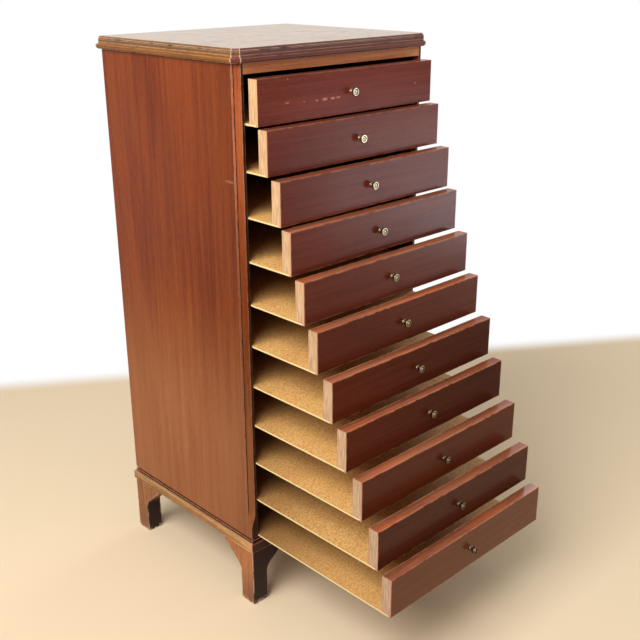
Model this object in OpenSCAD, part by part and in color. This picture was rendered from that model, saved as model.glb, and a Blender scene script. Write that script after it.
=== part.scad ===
// A sheet music cabinet: eleven sliding trays in an open-fronted carcass on bracket feet.
// Millimetres. +Z is up, +X is to the right as seen from the front, and the front faces -Y.
// The origin is on the floor, midway between the sides, in the plane of the backs of the
// closed tray fronts. The trays stand drawn out in a staircase.

/* [Carcass] */
// Width over the side boards
carcass_w = 435; // [400:1:480]
// Depth from the posts' front face to the side boards' rear edge
carcass_d = 372; // [350:1:420]
// Thickness of a side board
side_t = 10; // [8:0.5:12]
// Thickness of the back panel
back_t = 6; // [4:0.5:9]
// How far the back panel lies in from the side boards' rear edge
back_inset = 1; // [0:0.5:3]
// Width of the rebate in a side board that the back panel lies in
back_rebate = 5; // [3:0.5:6]
// Height of the rails under the top, front and rear
top_rail_h = 16.8; // [14:0.1:30]
// Depth of the rails under the top, from front to rear
top_rail_d = 45; // [25:1:70]
// Thickness of the bottom board
bottom_t = 12; // [8:1:18]

/* [Corner posts] */
// Width of a post across the front
post_w = 14; // [13:0.5:18]
// Depth of a post along the side
post_d = 13; // [12:0.5:20]
// Distance of the chamfer's outer edges from the corner
chamfer_w = 8.8; // [6:0.1:10]
// Depth of the quirk at each edge of the chamfer
chamfer_quirk = 2; // [0.5:0.1:3]
// Height of plain square post under the chamfer's stop
stop_up = 14; // [8:1:60]
// Length of the lamb's tongue that stops the chamfer
stop_len = 44; // [20:1:60]

/* [Trays] */
// Height of a tray front
front_h = 71.2; // [50:0.1:100]
// Thickness of a tray front
front_t = 20; // [16:0.5:24]
// Gap between one tray front and the next
front_gap = 3; // [1.5:0.1:5]
// Gap between the lowest tray and the base
base_gap = 1.2; // [0.8:0.1:4]
// Gap between the top tray's front and the rail over it
top_gap = 5; // [2:0.1:8]
// Gap between a tray and the post at each side
tray_side_gap = 1.1; // [0.5:0.1:2]
// Thickness of a tray panel
panel_t = 3; // [2.5:0.5:5]
// Thickness of front board left in front of the panel's rebate
facing_t = 5; // [3:0.5:8]
// Gap between a closed tray panel and the back panel
tray_rear_gap = 3; // [1:0.5:10]
// Radius along the long front edges of a tray front
front_round = 0.8; // [0.3:0.1:2]

/* [Runners] */
// How far a runner reaches over a tray panel's edge
runner_reach = 8; // [5:0.5:14]
// Thickness of the runner's lip under the groove
lip_under = 7; // [4:0.5:12]
// Thickness of the runner's lip over the groove
lip_over = 7; // [4:0.5:12]
// Play over a tray panel in its groove
groove_play = 1; // [0.4:0.1:2]
// Play beside a tray panel in its groove
groove_side_play = 0.9; // [0.3:0.1:1.5]

/* [Trays drawn out] */
// How far tray 1, at the top, stands open
open_1 = 30; // [0:1:325]
// How far tray 2 stands open
open_2 = 50; // [0:1:325]
// How far tray 3 stands open
open_3 = 78; // [0:1:325]
// How far tray 4 stands open
open_4 = 100; // [0:1:325]
// How far tray 5 stands open
open_5 = 129; // [0:1:325]
// How far tray 6 stands open
open_6 = 158; // [0:1:325]
// How far tray 7 stands open
open_7 = 191; // [0:1:325]
// How far tray 8 stands open
open_8 = 222; // [0:1:325]
// How far tray 9 stands open
open_9 = 257; // [0:1:325]
// How far tray 10 stands open
open_10 = 293; // [0:1:325]
// How far tray 11, at the bottom, stands open
open_11 = 323; // [0:1:325]

/* [Knobs] */
// Diameter of a knob's head
knob_d = 13; // [10:0.5:20]
// Thickness of the knob head's rim
knob_rim_t = 2.4; // [1.5:0.1:4]
// Width of the raised ring round the knob's face
knob_ring_w = 1.4; // [0.8:0.1:2]
// Depth of the dish inside the ring
knob_dish = 0.7; // [0.3:0.1:1]
// Diameter of the domed button in the middle of the face
knob_button_d = 4.8; // [2:0.2:6]
// How far the head's rim stands out from the tray front
knob_out = 11.6; // [10:0.1:16]
// Diameter of the knob's neck
neck_d = 5.6; // [4.5:0.1:7]
// Diameter of the knob's collar, against the tray front
collar_d = 9.6; // [8:0.2:12]
// Thickness of the collar
collar_t = 2.4; // [1:0.1:3]
// Diameter of the screw shank in the tray front
shank_d = 4; // [3:0.5:5]
// Length of the screw shank in the tray front
shank_l = 12; // [8:1:14]
// Play round the screw shank
shank_play = 0.1; // [0.05:0.05:0.3]

/* [Top] */
// Thickness of the top board
top_t = 10.6; // [8:0.1:16]
// How far the top board stands out from the carcass
top_out = 3.5; // [2:0.1:6]
// Width of the bevel round the top board
bevel_w = 2.6; // [1:0.1:4]
// Height of the bevel round the top board
bevel_h = 3.8; // [1:0.1:5]
// Height and depth of the quirk under that bevel
bevel_quirk = 0.9; // [0.5:0.1:1.5]
// Height of the moulding under the top board
moulding_h = 11.4; // [10:0.1:16]
// How far the moulding stands out from the carcass
moulding_out = 7; // [6.5:0.1:10]
// Radius of the round under the moulding
moulding_round = 2.5; // [1:0.1:4]
// Height of the plain edge under the moulding's round
moulding_foot = 1; // [0.5:0.1:2]
// How far the moulding strips reach in over the carcass
moulding_in = 38; // [20:1:50]
// Leg of the cut across each front corner of the top, in the plane of the carcass
corner_cut = 7.6; // [4:0.1:11]

/* [Base] */
// Height of the feet
foot_h = 113.5; // [85:0.5:140]
// Height of the base rails
base_rail_h = 28.3; // [27:0.1:45]
// Height of the flat band on the base rails
band_h = 18.5; // [14:0.1:22]
// How far the band stands out from the carcass
band_out = 4.3; // [2:0.1:8]
// Radius of the band's lower edge
band_round = 3.3; // [1:0.1:4]
// Radius of the band's upper edge
band_top_round = 1.5; // [0.5:0.1:2]
// Diameter of the bead over the band
bead_d = 2.7; // [2:0.1:4.5]
// How far the bead stands out from the carcass
bead_out = 0.8; // [0.3:0.1:2]
// Depth of the quirks beside the bead, in from the carcass
bead_quirk = 3; // [1:0.1:4]
// Distance from the carcass face in to the inner face of the base rails
base_in = 18; // [15:1:24]
// How far the feet stand out from the carcass
foot_out = 1.7; // [0:0.1:4]
// Thickness of a foot's bracket boards
foot_t = 31; // [24:0.5:34]
// Width of a foot where its wing starts, from the carcass face
foot_w = 32.5; // [28:0.1:50]
// How much wider a foot is at the floor
foot_flare = 0.5; // [0:0.1:6]
// Height where a foot's wing starts
wing_from = 59; // [35:1:70]
// Radius of the hollow that leads from a foot's leg into its wing
wing_r = 22; // [10:1:28]
// Slope of the wing past the hollow, in degrees from level
wing_slope = 40; // [30:1:50]
// Height left at the tip of a foot's wing
wing_tip = 3; // [2:0.5:10]
// Height of the worn chamfer round the floor end of a foot
foot_wear = 1.5; // [0.5:0.1:3]

/* [Hidden] */
$fn = 64;
// How far a cut runs past the surface that it opens
past = 1;
// Well outside any moulding on the carcass
far = 60;

// Trays, from the top down
tray_open = [open_1, open_2, open_3, open_4, open_5, open_6, open_7, open_8, open_9,
    open_10, open_11];
tray_count = len(tray_open);
tray_pitch = front_h + front_gap;
panel_lap = front_t - facing_t;

// Heights, from the floor up
base_top = foot_h + base_rail_h;
opening_top = base_top + base_gap + tray_count * tray_pitch - front_gap + top_gap;
carcass_top = opening_top + top_rail_h;
moulding_top = carcass_top + moulding_h;
carcass_h = carcass_top - base_top;

// Half widths
x_face = carcass_w / 2;
x_side = x_face - side_t;
x_open = x_face - post_w;
x_tray = x_open - tray_side_gap;
x_groove = x_tray + groove_side_play;
x_runner = x_tray - runner_reach;
x_back = x_side + back_rebate;

// Depths
y_face = -front_t;
y_rear = carcass_d - front_t;
y_mid = (y_face + y_rear) / 2;
y_back = y_rear - back_inset - back_t;
y_tray_rear = y_back - tray_rear_gap;

// The carcass's outline in plan, as edges: each has the turn of its outward direction
// from the front, and its distance from the middle of the carcass
front_edge = [0, carcass_d / 2];
right_edge = [90, carcass_w / 2];
rear_edge = [180, carcass_d / 2];
left_edge = [270, carcass_w / 2];
square_edges = [front_edge, right_edge, rear_edge, left_edge];
cut_distance = (carcass_w / 2 + carcass_d / 2 - corner_cut) / sqrt(2);
right_cut = [45, cut_distance];
left_cut = [-45, cut_distance];
// How far in from the carcass face a foot's inner faces lie
foot_in = foot_t - foot_out;
// How far in from the carcass face the two mitres of a cut corner meet
cut_depth = corner_cut * (1 + 1 / sqrt(2));

tray_nodes = [for (n = [1 : tray_count], piece = ["front", "panel", "knob"]) str("tray_", n, "_", piece)];

// Height of the underside of tray n
function bottom_of(n) = base_top + base_gap + (tray_count - n) * tray_pitch;

// The direction that an edge faces, in plan
function outward(edge) = [sin(edge[0]), -cos(edge[0])];

// The point in plan where two edges cross once both are moved outwards by out
function meet(a, b, out) =
    let (na = outward(a), nb = outward(b), da = a[1] + out, db = b[1] + out)
    let (turn = na.x * nb.y - na.y * nb.x)
    [(da * nb.y - db * na.y) / turn, y_mid + (na.x * db - nb.x * da) / turn];

// Puts a child on an edge: X runs along the edge, and +Y goes in from the carcass face
module on_edge(edge) {
    translate([0, y_mid, 0]) rotate(edge[0]) translate([0, -edge[1], 0]) children();
}

// Runs a section along X. The section's x is the distance in from the face, its y the height
module run(length) {
    rotate([90, 0, 90]) linear_extrude(height = length, center = true) children();
}

// Everything above and below an outline in plan
module column(points) {
    linear_extrude(height = 2 * carcass_top) polygon(points);
}

// What goes to round the corner of a section that lies at the origin, between +x and +y
module corner_waste(r) {
    difference() {
        translate([-past, -past]) square(r + past);
        translate([r, r]) circle(r);
    }
}

// A tray front: a board with eased front edges, a rebate for the panel and a knob hole
module tray_front(n) {
    color("#5c2b22") translate([0, -tray_open[n - 1], bottom_of(n)]) difference() {
        run(2 * x_tray) tray_front_section();
        translate([0, y_face - past, front_h / 2]) rotate([-90, 0, 0])
            cylinder(d = shank_d + 2 * shank_play, h = past + shank_l + shank_play);
    }
}

module tray_front_section() {
    difference() {
        translate([y_face, 0]) square([front_t, front_h]);
        translate([-panel_lap, -past]) square([panel_lap + past, panel_t + past]);
        translate([y_face, 0]) corner_waste(front_round);
        translate([y_face, front_h]) rotate(-90) corner_waste(front_round);
    }
}

// A tray panel: thin, as wide as the front, and let into the front's rebate
module tray_panel(n) {
    color("#c18c4e") translate([-x_tray, -panel_lap - tray_open[n - 1], bottom_of(n)])
        cube([2 * x_tray, panel_lap + y_tray_rear, panel_t]);
}

// A turned knob with its screw shank
module tray_knob(n) {
    color("#b3a074") translate([0, y_face - tray_open[n - 1], bottom_of(n) + front_h / 2])
        rotate([90, 0, 0]) rotate_extrude() knob_outline();
}

// Half of a knob from its axis out: x is the radius, y the distance out from the tray front
module knob_outline() {
    head_r = knob_d / 2;
    neck_r = neck_d / 2;
    collar_r = collar_d / 2;
    button_r = knob_button_d / 2;
    head_back = knob_out - knob_rim_t;
    dish_at = knob_out - knob_dish;
    collar_ease = collar_t / 2;
    dome_r = 1.6 * button_r;
    difference() {
        union() {
            translate([0, -shank_l]) square([shank_d / 2, shank_l + past]);
            square([collar_r, collar_t]);
            square([neck_r, dish_at]);
            // A cove leads from the collar up to the neck
            translate([0, collar_t]) difference() {
                square([collar_r - collar_ease, collar_r - collar_ease - neck_r]);
                translate([collar_r - collar_ease, collar_r - collar_ease - neck_r])
                    circle(collar_r - collar_ease - neck_r);
            }
            // The head is round behind its rim, like a bun
            intersection() {
                translate([neck_r, head_back]) circle(head_r - neck_r);
                translate([0, head_back - head_r]) square([head_r, head_r + past]);
            }
            translate([0, head_back]) square([head_r, knob_rim_t]);
        }
        translate([collar_r, collar_t]) rotate(180) corner_waste(collar_ease);
        translate([0, dish_at]) square([head_r - knob_ring_w, knob_dish + past]);
        translate([head_r, knob_out]) rotate(180) corner_waste(knob_rim_t / 4);
    }
    // The domed button
    intersection() {
        translate([0, dish_at - sqrt(dome_r * dome_r - button_r * button_r)]) circle(dome_r);
        translate([0, head_back]) square([button_r, 2 * knob_rim_t]);
    }
}

// The grooved runners of one side, one to a tray; s is -1 at the left and 1 at the right
module tray_runners(s) {
    color("#9c7345") mirror([s < 0 ? 1 : 0, 0, 0]) for (n = [1 : tray_count])
        tray_runner(bottom_of(n));
}

// A runner at the right whose tray runs at height z; the lowest one lies on the base
module tray_runner(z) {
    under = min(lip_under, z - base_top);
    groove_h = panel_t + groove_play;
    difference() {
        translate([x_runner, 0, z - under])
            cube([x_side - x_runner, y_back, under + groove_h + lip_over]);
        translate([x_runner - past, -past, z])
            cube([x_groove - x_runner + past, y_back + 2 * past, groove_h]);
    }
}

// A side board, with its rear edge rebated for the back panel
module side_board(s) {
    color("#7d3d28") difference() {
        translate([s * (x_face + x_side) / 2 - side_t / 2, y_face + post_d, base_top])
            cube([side_t, carcass_d - post_d, carcass_h]);
        translate([-x_back, y_back, base_top - past])
            cube([2 * x_back, back_t + back_inset + past, carcass_h + 2 * past]);
    }
}

// A front corner post with a quirked chamfer, stopped in a lamb's tongue above the base
module corner_post(s) {
    color("#98512d") mirror([s > 0 ? 1 : 0, 0, 0]) translate([-x_face, y_face, base_top])
        difference() {
            cube([post_w, post_d, carcass_h]);
            chamfer_waste();
        }
}

// What the chamfer takes from a post whose corner is at the origin: a cut at 45 degrees,
// kept inside a square so that each of its edges has a quirk
module chamfer_waste() {
    depth = (chamfer_w + chamfer_quirk) / sqrt(2);
    intersection() {
        translate([-past, -past, 0]) cube([chamfer_w + past, chamfer_w + past, 2 * carcass_h]);
        rotate(45) rotate([-90, -90, 0]) linear_extrude(height = 4 * chamfer_w, center = true)
            translate([stop_up, 0]) stopped_cut(depth);
    }
}

// A stopped cut seen from the side: x is the height above the stop, y the depth of the cut.
// The stop is hollow under the cut and round where it runs out, in two like arcs.
module stopped_cut(depth) {
    half = stop_len / 2;
    rise = depth / 2;
    r = (half * half + rise * rise) / (2 * rise);
    translate([stop_len, -far]) square([carcass_h, far + depth]);
    intersection() {
        translate([half, depth - 2 * r]) square([half, 2 * r]);
        translate([stop_len, depth - r]) circle(r);
    }
    difference() {
        translate([0, -r]) square([half, r + rise]);
        translate([0, r]) circle(r);
    }
}

// The front rail under the top, between the posts and behind them up to the side boards
module top_rail_front() {
    color("#98512d") difference() {
        translate([-x_side, y_face, opening_top]) cube([2 * x_side, top_rail_d, top_rail_h]);
        for (s = [-1, 1])
            translate([s * (x_open + post_w / 2) - post_w / 2, y_face - past, opening_top - past])
                cube([post_w, post_d + past, top_rail_h + 2 * past]);
    }
}

module top_rail_rear() {
    color("#9c7345") translate([-x_side, y_back - top_rail_d, opening_top])
        cube([2 * x_side, top_rail_d, top_rail_h]);
}

module back_panel() {
    color("#8a5a38") translate([-x_back, y_back, base_top])
        cube([2 * x_back, back_t, carcass_h]);
}

module bottom_board() {
    color("#9c7345") translate([base_in - x_face, y_face + base_in, base_top - bottom_t])
        cube([carcass_w - 2 * base_in, carcass_d - 2 * base_in, bottom_t]);
}

// The moulding's section: a cove over a flat edge, with a round and a plain edge under it
module moulding_section() {
    cove = moulding_out - top_out;
    difference() {
        translate([-moulding_out, 0]) square([moulding_out + moulding_in, moulding_h]);
        translate([-moulding_out, moulding_h]) circle(cove);
        translate([-moulding_out, moulding_foot]) corner_waste(moulding_round);
        translate([-moulding_out - past, -past]) square([moulding_round + past, moulding_foot + past]);
    }
}

// A strip of the top moulding along an edge, with its ends cut to an outline in plan
module top_moulding(edge, ends) {
    color("#74382a") intersection() {
        on_edge(edge) translate([0, 0, carcass_top]) run(2 * carcass_w) moulding_section();
        column(ends);
    }
}

module top_moulding_front() {
    top_moulding(front_edge, [
        meet(left_cut, front_edge, far), meet(front_edge, right_cut, far),
        meet(front_edge, right_edge, -cut_depth), meet(front_edge, right_edge, -moulding_in),
        meet(left_edge, front_edge, -moulding_in), meet(left_edge, front_edge, -cut_depth)]);
}

// s is -1 at the left and 1 at the right
module top_moulding_side(s) {
    side_edge = s < 0 ? left_edge : right_edge;
    cut_edge = s < 0 ? left_cut : right_cut;
    top_moulding(side_edge, [
        meet(rear_edge, side_edge, far), meet(side_edge, cut_edge, far),
        meet(side_edge, front_edge, -cut_depth), meet(side_edge, front_edge, -moulding_in),
        meet(rear_edge, side_edge, -moulding_in)]);
}

module top_moulding_rear() {
    top_moulding(rear_edge, [
        meet(rear_edge, left_edge, far), meet(right_edge, rear_edge, far),
        meet(right_edge, rear_edge, -moulding_in), meet(rear_edge, left_edge, -moulding_in)]);
}

// The short returns across the two cut corners
module top_moulding_corners() {
    top_moulding(left_cut, [
        meet(left_edge, left_cut, far), meet(left_cut, front_edge, far),
        meet(left_edge, front_edge, -cut_depth)]);
    top_moulding(right_cut, [
        meet(front_edge, right_cut, far), meet(right_cut, right_edge, far),
        meet(front_edge, right_edge, -cut_depth)]);
}

// The top board, with a quirked bevel along all six edges
module top_board() {
    color("#6b3327") difference() {
        translate([0, 0, moulding_top]) linear_extrude(height = top_t) polygon([
            meet(left_cut, front_edge, top_out), meet(front_edge, right_cut, top_out),
            meet(right_cut, right_edge, top_out), meet(right_edge, rear_edge, top_out),
            meet(rear_edge, left_edge, top_out), meet(left_edge, left_cut, top_out)]);
        for (edge = [front_edge, right_cut, right_edge, rear_edge, left_edge, left_cut])
            on_edge(edge) translate([0, 0, moulding_top + top_t]) run(2 * carcass_w) bevel_waste();
    }
}

// The bevel's waste, over a slope that runs through the board's edge and top, and that of
// the quirk under it
module bevel_waste() {
    polygon([
        [-top_out - bevel_w, -2 * bevel_h], [-top_out + 2 * bevel_w, bevel_h],
        [-top_out - bevel_w, bevel_h]]);
    translate([-top_out - past, -bevel_h - bevel_quirk])
        square([past + bevel_quirk, bevel_quirk]);
}

// A base rail's section: a bead between two quirks, over a band with rounded edges
module base_rail_section() {
    bead_up = (band_h + base_rail_h) / 2;
    bead_mid = bead_d / 2 - bead_out;
    translate([bead_quirk, 0]) square([base_in - bead_quirk, base_rail_h]);
    translate([bead_mid, bead_up]) circle(d = bead_d);
    translate([bead_mid, bead_up - bead_d / 2]) square([bead_quirk - bead_mid + past, bead_d]);
    difference() {
        translate([-band_out, 0]) square([band_out + bead_quirk + past, band_h]);
        translate([-band_out, 0]) corner_waste(band_round);
        translate([-band_out, band_h]) rotate(-90) corner_waste(band_top_round);
    }
}

// The base rail along square edge i, mitred into its neighbours
module base_rail(i) {
    edge = square_edges[i];
    before = square_edges[(i + 3) % 4];
    after = square_edges[(i + 1) % 4];
    color("#8b5430") intersection() {
        on_edge(edge) translate([0, 0, foot_h]) run(2 * carcass_w) base_rail_section();
        column([
            meet(before, edge, far), meet(edge, after, far), meet(edge, after, -base_in),
            meet(before, edge, -base_in)]);
    }
}

// The bracket foot at the corner after square edge i: two bracket boards glued at the corner,
// with a worn chamfer round the floor end
module foot(i) {
    j = (i + 1) % 4;
    color("#8f5230") difference() {
        union() {
            bracket(i, 1);
            bracket(j, -1);
        }
        for (edge = [square_edges[i], square_edges[j]])
            on_edge(edge) run(2 * carcass_w) foot_wear_waste();
    }
}

// A bracket board on square edge i: end is -1 at the start of the edge and 1 at its end
module bracket(i, end) {
    neighbour = square_edges[(i + 4 + end) % 4];
    on_edge(square_edges[i]) mirror([end > 0 ? 1 : 0, 0, 0]) translate([-neighbour[1], foot_in, 0])
        rotate([90, 0, 0]) linear_extrude(height = foot_t) bracket_outline();
}

// The waste of the worn chamfer, over a slope that runs through a foot's face and underside
module foot_wear_waste() {
    polygon([
        [-foot_out - foot_wear, 2 * foot_wear], [-foot_out + 2 * foot_wear, -foot_wear],
        [-foot_out - foot_wear, -foot_wear]]);
}

// A bracket seen square on: x is the distance in from the neighbouring carcass face. The leg
// runs through a hollow into the wing, which slopes up to the base rail
module bracket_outline() {
    hollow_end = [
        foot_w + wing_r * (1 - sin(wing_slope)), wing_from + wing_r * cos(wing_slope)];
    wing_end = hollow_end.x + (foot_h - wing_tip - hollow_end.y) / tan(wing_slope);
    difference() {
        polygon([
            [-foot_out, 0], [foot_w + foot_flare, 0], [foot_w, wing_from], hollow_end,
            [wing_end, foot_h - wing_tip], [wing_end, foot_h], [-foot_out, foot_h]]);
        translate([foot_w + wing_r, wing_from]) circle(wing_r);
    }
}

// Square glue blocks in the base rails' corners, which stand on the feet and carry the
// bottom board
module foot_blocks() {
    for (i = [0 : 3]) {
        outer = meet(square_edges[i], square_edges[(i + 1) % 4], -base_in);
        inner = meet(square_edges[i], square_edges[(i + 1) % 4], -foot_in);
        color("#8f5230")
            translate([min(outer.x, inner.x), min(outer.y, inner.y), foot_h])
                cube([foot_in - base_in, foot_in - base_in, base_top - bottom_t - foot_h]);
    }
}

for (n = [1 : tray_count]) {
    tray_front(n);
    tray_panel(n);
    tray_knob(n);
}
top_board();
top_moulding_front();
top_moulding_side(-1);  // top_moulding_left
top_moulding_side(1);  // top_moulding_right
top_moulding_rear();
top_moulding_corners();
top_rail_front();
top_rail_rear();
side_board(-1);  // side_left
side_board(1);  // side_right
corner_post(-1);  // corner_post_left
corner_post(1);  // corner_post_right
back_panel();
bottom_board();
tray_runners(-1);  // tray_runners_left
tray_runners(1);  // tray_runners_right
base_rail(0);  // base_rail_front
base_rail(1);  // base_rail_right
base_rail(2);  // base_rail_rear
base_rail(3);  // base_rail_left
foot(0);  // foot_front_right
foot(1);  // foot_rear_right
foot(2);  // foot_rear_left
foot(3);  // foot_front_left
foot_blocks();
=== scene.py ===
"""Dresses the sheet music cabinet: wood, brass, pins, light and camera. Metres throughout."""

import math

import bmesh
import bpy
from mathutils import Matrix, Vector

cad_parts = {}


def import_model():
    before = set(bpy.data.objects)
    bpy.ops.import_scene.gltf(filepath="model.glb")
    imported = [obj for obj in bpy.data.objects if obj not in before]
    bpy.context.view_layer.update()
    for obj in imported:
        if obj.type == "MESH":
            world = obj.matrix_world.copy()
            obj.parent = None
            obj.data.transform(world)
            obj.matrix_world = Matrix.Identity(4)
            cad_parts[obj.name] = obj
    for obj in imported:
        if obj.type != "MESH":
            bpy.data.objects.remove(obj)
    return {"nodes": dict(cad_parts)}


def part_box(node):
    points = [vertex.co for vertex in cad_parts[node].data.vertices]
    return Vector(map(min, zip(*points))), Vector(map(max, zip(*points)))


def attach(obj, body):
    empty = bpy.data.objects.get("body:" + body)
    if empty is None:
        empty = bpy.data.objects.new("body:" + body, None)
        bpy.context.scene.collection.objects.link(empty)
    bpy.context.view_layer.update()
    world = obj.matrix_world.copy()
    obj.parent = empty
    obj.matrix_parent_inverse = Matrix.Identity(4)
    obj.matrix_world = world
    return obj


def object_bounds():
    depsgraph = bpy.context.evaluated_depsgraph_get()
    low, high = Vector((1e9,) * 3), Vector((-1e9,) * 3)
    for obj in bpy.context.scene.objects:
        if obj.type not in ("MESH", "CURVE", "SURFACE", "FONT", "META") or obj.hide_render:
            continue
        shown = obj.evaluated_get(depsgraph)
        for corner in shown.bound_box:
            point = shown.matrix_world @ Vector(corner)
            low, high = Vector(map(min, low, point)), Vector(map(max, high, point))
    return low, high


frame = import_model()
cad_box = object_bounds()

# What the materials need to know of the cabinet

TRAYS = 11
HEIGHT = cad_box[1][2]
# The carcass between its top and its base: half its width, and its front
CARCASS_HALF = -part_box("corner_post_left")[0].x
CARCASS_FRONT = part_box("corner_post_left")[0].y
# How far from the middle the inner faces of the side boards lie
SIDE_INNER = -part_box("side_left")[1].x
# The bead at the upper edge of the base rails, and the height where it starts
BEAD_HIGH = 0.0088
BEAD_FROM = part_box("base_rail_front")[1].z - BEAD_HIGH
# How thick the facing on the tray fronts is
FACING_T = 0.005


# Colours

def rgb(red, green, blue):
    """A colour given as an sRGB triple from 0 to 255, made linear."""
    values = (red / 255, green / 255, blue / 255)
    return tuple(v / 12.92 if v <= 0.04045 else ((v + 0.055) / 1.055) ** 2.4 for v in values)


def ramp(start, end, share):
    """The linear colour that lies a share of the way from one sRGB triple to another."""
    return rgb(*(a + (b - a) * share for a, b in zip(start, end)))


def shade(colour, factor):
    """A linear colour made darker, or brighter where the factor is over 1."""
    return tuple(factor * v for v in colour)


# Node graphs

AXES = "XYZ"
AO_SAMPLES = 6


def is_socket(value):
    return isinstance(value, bpy.types.NodeSocket)


class Graph:
    """The nodes of one material or world. Values are numbers or sockets, and colours are RGB
    triples or sockets. Most methods add a node and return its output."""

    def __init__(self, owner):
        owner.use_nodes = True
        self.owner = owner
        self.tree = owner.node_tree
        self.tree.nodes.clear()

    def node(self, kind, inputs=(), output=0, **settings):
        made = self.tree.nodes.new("ShaderNode" + kind)
        for name, value in settings.items():
            setattr(made, name, value)
        for name, value in dict(inputs).items():
            if is_socket(value):
                self.tree.links.new(value, made.inputs[name])
            else:
                made.inputs[name].default_value = value
        return made.outputs[output] if made.outputs else None

    def math(self, operation, a, b=0.0):
        return self.node("Math", {0: a, 1: b}, operation=operation)

    def plus(self, a, b):
        return self.math("ADD", a, b)

    def minus(self, a, b):
        return self.math("SUBTRACT", a, b)

    def times(self, *factors):
        product = factors[0]
        for factor in factors[1:]:
            product = self.math("MULTIPLY", product, factor)
        return product

    def blend(self, *parts):
        """The sum of values, each times its share."""
        total = 0.0
        for value, share in parts:
            total = self.plus(total, self.times(value, share))
        return total

    def mix(self, factor, a, b, blend="MIX"):
        """Colour a turning into colour b."""
        a, b = (v if is_socket(v) else (*v, 1.0) for v in (a, b))
        return self.node(
            "Mix", {0: factor, 6: a, 7: b}, output=2, data_type="RGBA", blend_type=blend)

    def tint(self, colour, share, start, end):
        """A colour multiplied by one triple, which turns into another as share goes from 0 to 1."""
        return self.mix(1.0, colour, self.mix(share, start, end), "MULTIPLY")

    def step(self, value, start, end):
        """0 at the start, 1 at the end, and smooth between. Start may be the greater."""
        return self.node(
            "MapRange", {0: value, 1: start, 2: end}, interpolation_type="SMOOTHSTEP")

    def place(self):
        """The place in the cabinet's frame, as it is at rest."""
        return self.node("TexCoord", output="Object")

    def split(self, vector):
        return tuple(self.node("SeparateXYZ", {0: vector}).node.outputs)

    def noise(self, waves, detail, shift=(0.0, 0.0, 0.0), distortion=0.0):
        """Noise with so many waves to the metre along X, Y and Z."""
        scaled = self.node(
            "Mapping", {"Vector": self.place(), "Location": shift, "Scale": waves})
        return self.node(
            "TexNoise",
            {"Vector": scaled, "Scale": 1.0, "Detail": detail, "Distortion": distortion})

    def patches(self, waves, detail, bounds, shift=(0.0, 0.0, 0.0), distortion=0.0):
        """Noise made into patches: 0 under the lower bound and 1 over the upper one."""
        return self.step(self.noise(waves, detail, shift, distortion), *bounds)

    def facing(self, axis, sign=0, bounds=(0.6, 0.8)):
        """1 on faces that look along an axis of the cabinet; sign 0 takes both ways."""
        normal = self.split(self.node("NewGeometry", output="Normal"))[AXES.index(axis)]
        along = self.times(normal, sign) if sign else self.math("ABSOLUTE", normal)
        return self.step(along, *bounds)

    def hidden(self, reach, bounds, inside=False, alone=True):
        """1 in corners, or on arrises where inside is true, within reach metres of them. Bounds
        are the hidden shares of the light where this starts and is full. Alone leaves out the
        corners that a piece makes with its neighbours."""
        open_share = self.node(
            "AmbientOcclusion", {"Distance": reach}, output="AO", samples=AO_SAMPLES,
            inside=inside, only_local=alone)
        return self.step(self.minus(1.0, open_share), *bounds)

    def finish(self, colour, roughness, height, depth, **settings):
        """Adds the surface, which height moves by up to depth metres, as a bump."""
        bump = self.node("Bump", {"Height": height, "Distance": depth, "Strength": 1.0})
        named = {name.replace("_", " "): value for name, value in settings.items()}
        shader = self.node("BsdfPrincipled", {
            "Base Color": colour, "Roughness": roughness, "Normal": bump, **named})
        self.node("OutputMaterial", {"Surface": shader})
        return self.owner


def material_graph(name):
    return Graph(bpy.data.materials.new(name))


# Wood, as grain that runs along one axis of the cabinet

# The parts of the grain: waves to the metre lengthwise and across, and detail
CLOUD = (3.0, 13.0, 4.0)
STREAK = (7.0, 420.0, 3.0)
FLECK = (90.0, 620.0, 2.0)
PORE = (110.0, 2300.0, 1.0)
# Each wood has its own number of ribbons to the metre across
RIBBON_LENGTHWISE = 2.2
RIBBON_DETAIL = 2.0
# What each part adds to the figure
RIBBON_SHARE = 0.22
STREAK_SHARE = 0.3
CLOUD_SHARE = 0.28
FLECK_SHARE = 0.2
# How far to either side of the noise's middle the figure is fully dark or light, at a contrast of 1
NOISE_MIDDLE = 0.5
FIGURE_SPREAD = 0.12
# Where in its noise a pore starts and is full, and how bright it is against the dark colour
PORE_FROM = (0.64, 0.74)
PORE_SHADE = 0.35
# What streaks and pores add to the height
STREAK_HEIGHT = 0.4
PORE_HEIGHT = -0.6
# How far a seed of 1 moves the noise along X, Y and Z
SEED_SHIFT = (3.17, 5.31, 7.73)


def grain(graph, axis, seed, dark, light, pores=0.5, ribbons=38.0, contrast=1.0):
    """The colour and the height of wood whose grain runs along an axis. Pores says how strong its
    pores are, which show in a plain dark colour only, and ribbons how many it has to the metre."""
    shift = tuple(seed * move for move in SEED_SHIFT)

    def part(lengthwise, across, detail):
        waves = tuple(lengthwise if a == axis else across for a in AXES)
        return graph.noise(waves, detail, shift)

    streak = part(*STREAK)
    pore = graph.step(part(*PORE), *PORE_FROM)
    figure = graph.blend(
        (part(RIBBON_LENGTHWISE, ribbons, RIBBON_DETAIL), RIBBON_SHARE), (streak, STREAK_SHARE),
        (part(*CLOUD), CLOUD_SHARE), (part(*FLECK), FLECK_SHARE))
    spread = FIGURE_SPREAD / contrast
    turned = graph.step(figure, NOISE_MIDDLE - spread, NOISE_MIDDLE + spread)
    colour = graph.mix(turned, dark, light)
    if not is_socket(dark):
        colour = graph.mix(graph.times(pore, pores), colour, shade(dark, PORE_SHADE))
    return colour, graph.blend((streak, STREAK_HEIGHT), (pore, PORE_HEIGHT))


# Wear and painted shade, which the kinds of wood share

# The dark of old polish and painted shade in corners
GRIME_AND_SHADE = rgb(34, 15, 11)
PATCH_WAVES = (60.0, 60.0, 60.0)
PATCH_DETAIL = 3.0
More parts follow.
